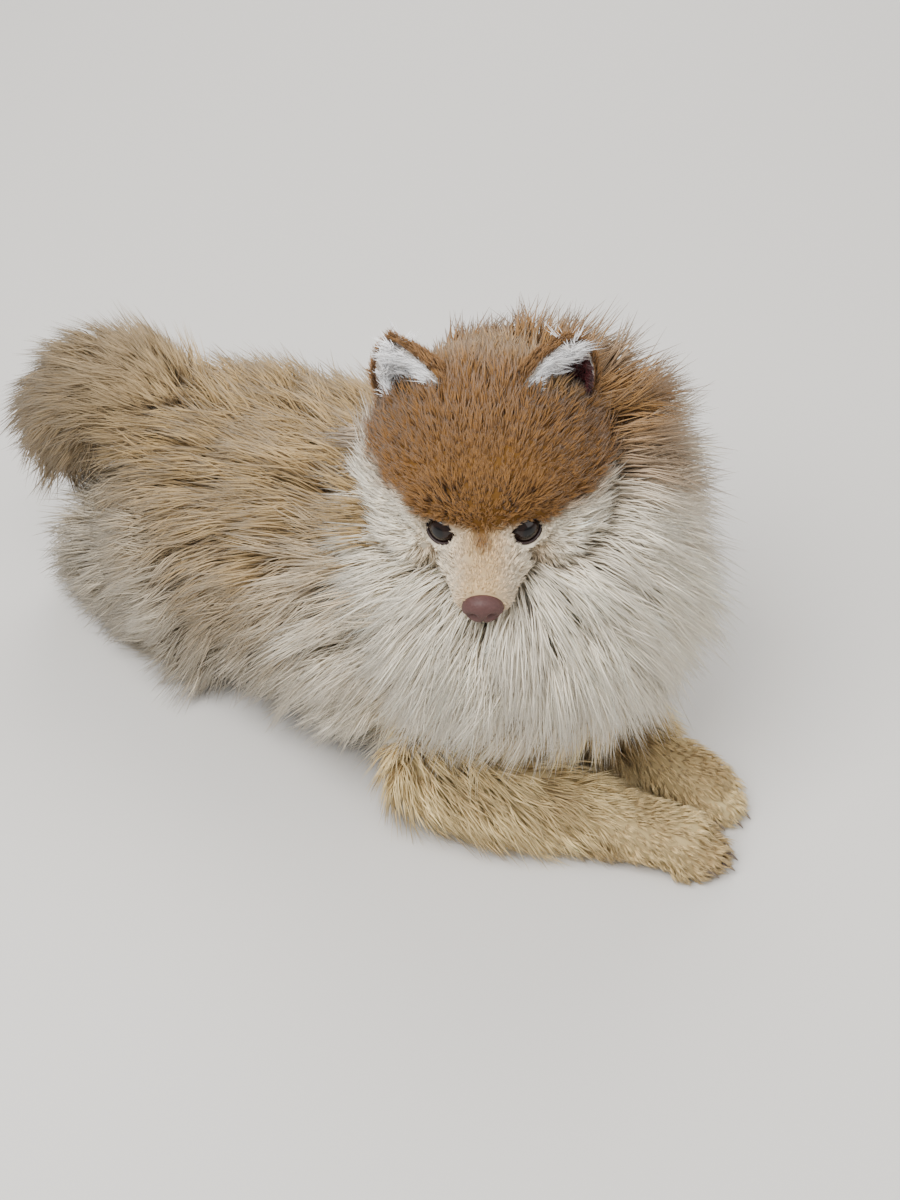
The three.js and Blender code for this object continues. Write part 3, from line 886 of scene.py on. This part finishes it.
fur = principled("fur", 0.62, specular=0.22, sheen=0.12)
hide = principled("hide", 0.85, specular=0.1)
eye_gloss = principled("eye", 0.04, specular=0.32)
lid_skin = principled("lid", 0.45, paint(44, 30, 28), specular=0.3)
nose_skin = principled("nose", 0.5, paint(86, 58, 55), specular=0.3)
claw_horn = principled("claw", 0.35, paint(104, 90, 80))


def mottle(material, scale, darker, depth):
    """Fine noise in a material's colour and height; scale is bumps to a metre."""
    tree = material.node_tree
    shader = tree.nodes["Principled BSDF"]
    colour = np.array(shader.inputs["Base Color"].default_value)
    place = tree.nodes.new("ShaderNodeTexCoord")
    noise = tree.nodes.new("ShaderNodeTexNoise")
    noise.inputs["Scale"].default_value = scale
    noise.inputs["Detail"].default_value = 3
    tint = tree.nodes.new("ShaderNodeMix")
    tint.data_type = "RGBA"
    for key, share in (("A", darker), ("B", 1.12)):
        tint.inputs[key].default_value = colour * vec(share, share, share, 1)
    bump = tree.nodes.new("ShaderNodeBump")
    bump.inputs["Strength"].default_value = 0.6
    bump.inputs["Distance"].default_value = depth
    tree.links.new(place.outputs["Object"], noise.inputs["Vector"])
    tree.links.new(noise.outputs["Fac"], tint.inputs["Factor"])
    tree.links.new(tint.outputs["Result"], shader.inputs["Base Color"])
    tree.links.new(noise.outputs["Fac"], bump.inputs["Height"])
    tree.links.new(bump.outputs["Normal"], shader.inputs["Normal"])


mottle(nose_skin, 1400, 0.6, 0.0004)
mottle(lid_skin, 900, 0.7, 0.0002)
mottle(claw_horn, 500, 0.7, 0.0001)

DENSITY = 1.0
WIDER = 1 / DENSITY**0.5
PIECE_LIMIT = 180000  # triangles in one coat piece
# Where no hair grows: round a lens, round the nose pad and under the body
LENS = {"forward": 5, "clear": 6.6}
NOSE_BARE = {"place": vec(51.5, 0, -13.8), "radius": 7}
FLOOR_BARE = 1.2


def coat_plan(count, children, spread, gather, slot, droop=0.05):
    """How one form is dressed, with count locks of some children, the hairs of one lock.

    The hairs stand within spread millimetres, gather by a share towards the tip, and droop.
    """
    return {
        "count": count,
        "children": children,
        "spread": spread,
        "gather": gather,
        "slot": slot,
        "droop": droop,
    }


PLAN = {
    "torso": coat_plan(1950, 17, 4.2, 0.5, "body_fur", droop=0.3),
    "neck": coat_plan(2050, 17, 4.0, 0.5, "ruff_fur", droop=0.28),
    "head": coat_plan(7200, 4, 1.2, 0.4, "head_fur"),
    "tail": coat_plan(560, 17, 3.4, 0.5, "tail_fur", droop=0.12),
    "foreleg_right": coat_plan(2100, 4, 1.4, 0.45, "leg_fur"),
    "foreleg_left": coat_plan(1800, 4, 1.4, 0.45, "leg_fur"),
    "hindleg_right": coat_plan(620, 14, 3.6, 0.5, "leg_fur", droop=0.3),
    "hindleg_left": coat_plan(480, 14, 3.6, 0.5, "leg_fur", droop=0.3),
}


def wanted_on(name):
    """How many locks the skin's points of one form want: none on the eyes, the nose or the floor."""
    wanted = (skin_near == NAMES.index(name)).astype(float)
    wanted *= 1 / np.maximum(skin_sizes[:, 0], 2) ** 0.6
    for side in SIDES:
        lens = on_head(mirrored(EYE["place"], side) + eye_frame(side)[0] * LENS["forward"])
        wanted *= np.linalg.norm(skin_points - lens, axis=1) > LENS["clear"]
    wanted *= np.linalg.norm(skin_points - on_head(NOSE_BARE["place"]), axis=1) > NOSE_BARE["radius"]
    return wanted * (skin_points[:, 2] > FLOOR_BARE)


def coat_guides(root, normal, droop):
    """Everything that locks at some places on the skin need to grow."""
    lie, size, form, along, turn = blended(root, normal)
    share = pick(along, form)
    return {
        "root": root,
        "normal": normal,
        "lie": lie,
        "length": size[:, 0],
        "width": size[:, 1] * WIDER,
        "lift": size[:, 2],
        "colour": markings(root, form, share),
        "uv": atlas(form, share, (pick(turn, form) / TURN) % 1.0),
        "droop": droop,
    }


def dress():
    """Grows the whole coat of the skin, in pieces that keep to the limit."""
    triangles = triangles_of(skin.data)
    for name, plan in PLAN.items():
        wanted = wanted_on(name)
        parts = -(-plan["count"] * plan["children"] * TRIANGLES_PER_HAIR // PIECE_LIMIT)
        for part in range(parts):
            count = int(plan["count"] * DENSITY / parts)
            root, normal = scatter(skin_points, skin_normals, triangles, wanted, count)
            guides = coat_guides(root, normal, plan["droop"])
            length = guides["length"]
            spread = plan["spread"] * np.clip(length / np.median(length), 0.4, 1.4) * WIDER
            arrays = grow_hair(guides, plan["children"], spread, plan["gather"])
            hair_piece(f"coat_{name}_{part + 1}", plan["slot"], *arrays)


skin.data.materials.append(hide)
dress()

# Width and depth of an ear's cup from below its root to its tip, as shares of the half width
EAR_WIDE = (0.9, 0.98, 1.0, 0.94, 0.8, 0.56, 0.1)
EAR_DEPTH = (0.56, 0.56, 0.52, 0.44, 0.34, 0.22, 0.05)
EAR_SINK = 0.25  # share of its height that an ear goes into the head
EAR_WRAP = 112  # degrees that its cup goes round to each side
EAR_WALL = 1.5
EAR_ROWS = 15
EAR_COLUMNS = 17


def ear_ways(side):
    """The ways up an ear and out of its cup, in the head's frame."""
    return unit(mirrored(EAR["rise"], side)), unit(mirrored(EAR["front"], side))


def ear_grid(side, inset):
    """Rows of points on one face of an ear, a cupped leaf, in the dog's frame."""
    rise, front = ear_ways(side)
    across = unit(np.cross(rise, front))
    h = np.linspace(-EAR_SINK, 1, EAR_ROWS)[:, None]
    share = (h + EAR_SINK) / (1 + EAR_SINK)
    turn = np.radians(np.linspace(-EAR_WRAP, EAR_WRAP, EAR_COLUMNS))[None, :]
    wide = np.maximum(through(EAR_WIDE, share) * EAR["half_width"] - inset, 0.4)
    deep = np.maximum(through(EAR_DEPTH, share) * EAR["half_width"] - inset, 0.4)
    level = EAR["height"] * h - inset * (h > 0.8)
    p = mirrored(EAR["place"], side) + rise * level[..., None] + across * (wide * np.sin(turn))[..., None]
    return on_head(p - front * (deep * np.cos(turn))[..., None])


def ear_faces():
    """Faces of both sides of an ear and of the rim between them."""
    rows, columns = EAR_ROWS, EAR_COLUMNS
    count = rows * columns
    faces = []
    for i in range(rows - 1):
        for j in range(columns - 1):
            a, b = i * columns + j, (i + 1) * columns + j
            faces += [(a, a + 1, b + 1, b), (count + a, count + b, count + b + 1, count + a + 1)]
    rim = [(i, 0) for i in range(rows)]
    rim += [(rows - 1, j) for j in range(1, columns)]
    rim += [(i, columns - 1) for i in range(rows - 2, -1, -1)]
    rim += [(0, j) for j in range(columns - 2, 0, -1)]
    for (i, j), (k, m) in zip(rim, rim[1:] + rim[:1]):
        a, b = i * columns + j, k * columns + m
        faces.append((a, b, count + b, count + a))
    return faces


def face_out(mesh):
    """Turns every face of a closed mesh outwards."""
    work = bmesh.new()
    work.from_mesh(mesh)
    bmesh.ops.recalc_face_normals(work, faces=work.faces)
    work.to_mesh(mesh)
    work.free()


def ear_shell(name, back, front):
    """The ear's own skin: dark and bare deep in the cup, where the dark is partly its red skin and partly
    painted shade of the hollow, pale above, tan behind.
    """
    shell = link(name + "_shell", np.concatenate([back.reshape(-1, 3), front.reshape(-1, 3)]), ear_faces())
    mesh = shell.data
    face_out(mesh)
    height = np.tile(np.repeat(np.linspace(0, 1, EAR_ROWS), EAR_COLUMNS), 2)
    across = np.tile(np.linspace(-1, 1, EAR_COLUMNS), 2 * EAR_ROWS)
    inner = np.arange(len(height)) >= len(height) // 2
    # darker towards the bottom of the cup: red skin with painted shade of the hollow
    lining = mix(EAR_SKIN_AND_SHADE, 0.8 * EAR_FRONT, ramp(height, 0.4, 0.7))
    set_colour(mesh, np.where(inner[:, None], lining, EAR_BACK * 0.8))
    shade_smooth(mesh)
    mesh.materials.append(hide)
    places = np.stack([0.38 + 0.2 * across + 0.25 * inner, 0.1 + 0.8 * height], 1)
    set_places(mesh, places[read(mesh.loops, "vertex_index")])
    applied(shell, ("SUBSURF", {"levels": 1}))
    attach(shell, "root")
    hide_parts(name)


EAR_LOCK = {"children": 4, "spread": 1.1, "gather": 0.4}
EAR_COATS = {
    "outer": {"length": 7, "count": 900, "width": 0.42, "lift": 20, "tone": EAR_BACK},
    "inner": {"length": 14, "count": 800, "width": 0.46, "lift": 34, "tone": EAR_FRONT},
}


def ear_triangles():
    """The triangles of one face of an ear, two to each cell of its grid."""
    i, j = np.meshgrid(np.arange(EAR_ROWS - 1), np.arange(EAR_COLUMNS - 1), indexing="ij")
    a = (i * EAR_COLUMNS + j).ravel()
    b = a + EAR_COLUMNS
    return np.concatenate([np.stack([a, a + 1, b], 1), np.stack([a + 1, b + 1, b], 1)])


def ear_coat(side, name, key, grid):
    """Short tan hair behind an ear, or long white hair in it that leans over the cup."""
    coat = EAR_COATS[key]
    inner = key == "inner"
    rise, facing = (head_way(way) for way in ear_ways(side))
    flat = grid.reshape(-1, 3)
    centre = grid.mean(axis=(0, 1))
    normal = unit(np.cross(np.gradient(grid, axis=1), np.gradient(grid, axis=0))).reshape(-1, 3)
    outward = np.sign(dot(normal, flat - centre - facing * 8))
    normal = normal * outward * (-1 if inner else 1)
    weight = np.ones(len(flat))
    if inner:
        turn = np.abs(np.tile(np.linspace(-1, 1, EAR_COLUMNS), EAR_ROWS))
        height = np.repeat(np.linspace(0, 1, EAR_ROWS), EAR_COLUMNS)
        deep = ramp(-turn, -0.5, -0.15) * ramp(-height, -0.6, -0.35)
        weight = 0.75 + 1.2 * ramp(turn, 0.35, 0.9) - (0.72 if side > 0 else 0.3) * deep
    root, normal = scatter(flat, normal, ear_triangles(), weight, int(coat["count"] * DENSITY))
    count = len(root)
    lie = rise + 0.25 * normal
    tone = np.tile(coat["tone"], (count, 1))
    length = np.full(count, float(coat["length"]))
    local = in_head(root)
    if inner:
        middle = centre + rise * dot(root - centre, rise)
        lie = lie + 0.55 * unit(middle - root) + 0.35 * facing
    else:
        tone = tone * (1 - 0.25 * ramp(local[:, 2], 38, 52)[:, None])
    # painted shade: where the left ear opens, its hair is darkened and shortened
    if inner and side > 0:
        shaded_opening = ramp(-local[:, 2], -36, -30) * ramp(local[:, 1], 25, 29)
        tone = mix(tone, EAR_SKIN_AND_SHADE, shaded_opening)
        length = length * (1 - 0.6 * shaded_opening)
    guides = {
        "root": root,
        "normal": normal,
        "lie": lie,
        "length": length,
        "width": np.full(count, coat["width"] * WIDER),
        "lift": np.full(count, float(coat["lift"])),
        "colour": tone,
        "uv": 0.1 + 0.8 * np.stack([rng.random(count), rng.random(count)], 1),
        "droop": 0.0,
    }
    arrays = grow_hair(guides, EAR_LOCK["children"], np.full(count, EAR_LOCK["spread"]), EAR_LOCK["gather"])
    hair_piece(f"coat_{name}_{key}", "ear_fur", *arrays)


for side, name in zip(SIDES, ("ear_left", "ear_right")):
    ear_back, ear_front = ear_grid(side, 0.0), ear_grid(side, EAR_WALL)
    ear_shell(name, ear_back, ear_front)
    ear_coat(side, name, "outer", ear_back)
    ear_coat(side, name, "inner", ear_front)


def smooth_piece(name, points, faces, material, slot, node=None):
    """A smooth piece, which stands for a node where one is named."""
    made = link(name, points, faces)
    shade_smooth(made.data)
    made.data.materials.append(material)
    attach(made, "root")
    if node:
        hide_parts(node)
    return made


PUPIL = paint(6, 5, 6)
IRIS = paint(30, 18, 14)
WHITE = paint(44, 34, 32)
RIM = {"half_width": 6.5, "half_height": 4.9, "reach": 7.1, "radius": 0.6}


def iris(away, side):
    """Colour on an eye: a black pupil in a dark brown iris."""
    off = np.arccos(np.clip(unit(away) @ head_way(eye_frame(side)[0]), -1, 1))[:, None]
    ring = PUPIL + (IRIS - PUPIL) * ramp(off, 0.3, 0.42)
    return ring + (WHITE - ring) * ramp(off, 0.86, 0.98)


def make_eye(side, name):
    """An eyeball just under the size of its solid, and the dark rim of its lids."""
    centre = on_head(mirrored(EYE["place"], side))
    points, faces = ball(centre, EYE["radius"] - 0.1, None, 60, 80)
    lens = smooth_piece(name + "_ball", points, faces, eye_gloss, "eye", name)
    set_colour(lens.data, iris(points - centre, side))
    points, faces = ring_tube(lid_line(side, RIM, 56), RIM["radius"], 10)
    smooth_piece(name + "_rim", points, faces, lid_skin, "nose")


for side, name in zip(SIDES, ("eye_left", "eye_right")):
    make_eye(side, name)


def nose_shape():
    """The nose pad with two comma-shaped nostrils and a groove under it."""
    points, faces = ball(vec(0, 0, 0), 1, None, 44, 64)
    p = points * NOSE["radii"]
    p[:, 2] += 0.9 * ramp(p[:, 0], 0, 4.8) * (1 - np.abs(p[:, 1]) / 8)
    p[:, 1] *= 1 - 0.22 * ramp(-p[:, 2], 0, 5)
    for side in SIDES:
        ahead = p[:, 0] > 0
        d = p - vec(3.6, 3.5 * side, 0.3)
        hollow = np.exp(-((d[:, 1] / 1.5) ** 2) - ((d[:, 2] / 1.35) ** 2)) * ahead
        slit_y, slit_z = (p[:, 1] - 5.8 * side) / 1.7, (p[:, 2] + 1.2) / 0.7
        slit = np.exp(-(slit_y**2) - slit_z**2) * ahead
        p -= points * (3.0 * hollow + 1.3 * slit)[:, None]
    groove = np.exp(-((p[:, 1] / 0.45) ** 2)) * ramp(-p[:, 2], -1, 2) * (p[:, 0] > 0)
    p -= points * (0.7 * groove)[:, None]
    return on_head(p + NOSE["place"]), faces


smooth_piece("nose_pad", *nose_shape(), nose_skin, "nose", "nose")


def open_tube(line, radius, sides=8):
    """A tapered tube along an open line of points, with one radius for each point."""
    ahead = unit(np.gradient(line, axis=0))
    side = unit(np.cross(ahead, UP))
    top = np.cross(side, ahead)
    a = np.arange(sides) * TURN / sides
    spokes = np.cos(a)[None, :, None] * side[:, None] + np.sin(a)[None, :, None] * top[:, None]
    rows = line[:, None] + radius[:, None, None] * spokes
    return close_rows(rows, line[:1] - ahead[:1] * radius[0], line[-1:] + ahead[-1:] * radius[-1])


# One half of the mouth line, from its corner to the middle of the chin, in the head's frame
MOUTH_HALF = [
    vec(26, 11.9, -19.5),
    vec(33, 10.9, -19.6),
    vec(40, 9.3, -19.8),
    vec(46.6, 5.5, -20),
    vec(49.6, 0, -19.6),
]


def lip_line():
    """The dark edge of the lips, from one corner of the mouth round the chin to the other."""
    whole = MOUTH_HALF + [mirrored(p, -1) for p in MOUTH_HALF[-2::-1]]
    t = np.linspace(0, 1, 49)
    return open_tube(on_head(through(whole, t)), 0.35 + 0.75 * np.sin(np.pi * t) ** 0.5)


CLAW = {"length": 4.8, "drop": 2.2, "radius": 0.95}


def claws():
    """A short, curved, blunt claw on each front toe."""
    made = []
    s = np.linspace(0, 1, 9)[:, None]
    radius = np.sqrt(np.maximum(1 - s[:, 0], 0.03)) * CLAW["radius"]
    for loft in FORELEGS.values():
        ahead = loft.frame(np.array([1.0]))[1][0]
        for points, _ in toe_balls(loft):
            start = points.mean(0) + 8.2 * ahead + vec(0, 0, -1.2)
            line = start + ahead * CLAW["length"] * s - UP * (CLAW["drop"] * s**2)
            made.append(open_tube(line, radius))
    return joined(made)


smooth_piece("lips", *lip_line(), lid_skin, "nose")
smooth_piece("claws", *claws(), claw_horn, "nose")
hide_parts("head", "neck", "torso", "tail", *FORELEGS, *HIND)
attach(skin, "root")

# Floor, light and camera
FLOOR_HALF = 4.0  # metres
CAMERA = {"turn": 40.0, "rise": 40.0, "roll": -1.5, "distance": 0.966, "lens": 65.25, "sensor": 36}
LOOK_AT = vec(-77.5, 72.1, 0)


def make_floor():
    mesh = bpy.data.meshes.new("floor")
    corners = [(FLOOR_HALF * x, FLOOR_HALF * y, 0) for x, y in [(-1, -1), (1, -1), (1, 1), (-1, 1)]]
    mesh.from_pydata(corners, [], [(0, 1, 2, 3)])
    mesh.materials.append(principled("floor", 0.9, (0.62, 0.6, 0.57)))
    floor = bpy.data.objects.new("floor", mesh)
    bpy.context.scene.collection.objects.link(floor)


def make_world():
    """A soft, slightly warm light from all round."""
    world = bpy.data.worlds.new("studio")
    world.use_nodes = True
    light = world.node_tree.nodes["Background"]
    light.inputs["Color"].default_value = (1.0, 0.98, 0.95, 1)
    light.inputs["Strength"].default_value = 0.55
    bpy.context.scene.world = world


make_floor()
make_world()


def look_matrix(place, ahead, roll=0.0):
    """Stands a lamp or camera at a place, looking ahead and rolled by some degrees."""
    right = unit(np.cross(ahead, UP))
    top = np.cross(right, ahead)
    c, s = np.cos(np.radians(roll)), np.sin(np.radians(roll))
    right, top = c * right + s * top, c * top - s * right
    m = np.eye(4)
    m[:3, 0], m[:3, 1], m[:3, 2], m[:3, 3] = right, top, -ahead, place
    return Matrix(m.tolist())


def back_way(turn, rise):
    """The way from the target back to a lamp or camera, from its two angles in degrees."""
    a, e = np.radians(turn), np.radians(rise)
    return vec(np.sin(a) * np.cos(e), -np.cos(a) * np.cos(e), np.sin(e))


target = to_world(LOOK_AT)
LAMPS = {
    "key": {"turn": 5, "rise": 58, "away": 1.3, "size": 0.9, "power": 26},
    "fill": {"turn": 95, "rise": 35, "away": 1.5, "size": 1.2, "power": 9},
    "rim": {"turn": 215, "rise": 45, "away": 1.4, "size": 0.9, "power": 14},
}


def make_lamp(name, plan):
    lamp = bpy.data.lights.new(name, "AREA")
    lamp.size = plan["size"]
    lamp.energy = plan["power"]
    made = bpy.data.objects.new(name, lamp)
    way = back_way(plan["turn"], plan["rise"])
    made.matrix_world = look_matrix(target + way * plan["away"], -way)
    bpy.context.scene.collection.objects.link(made)


for name, plan in LAMPS.items():
    make_lamp(name, plan)


def make_camera():
    data = bpy.data.cameras.new("camera")
    data.lens = CAMERA["lens"]
    data.sensor_width = CAMERA["sensor"]
    camera = bpy.data.objects.new("camera", data)
    bpy.context.scene.collection.objects.link(camera)
    way = back_way(CAMERA["turn"], CAMERA["rise"])
    camera.matrix_world = look_matrix(target + way * CAMERA["distance"], -way, CAMERA["roll"])
    bpy.context.scene.camera = camera


make_camera()
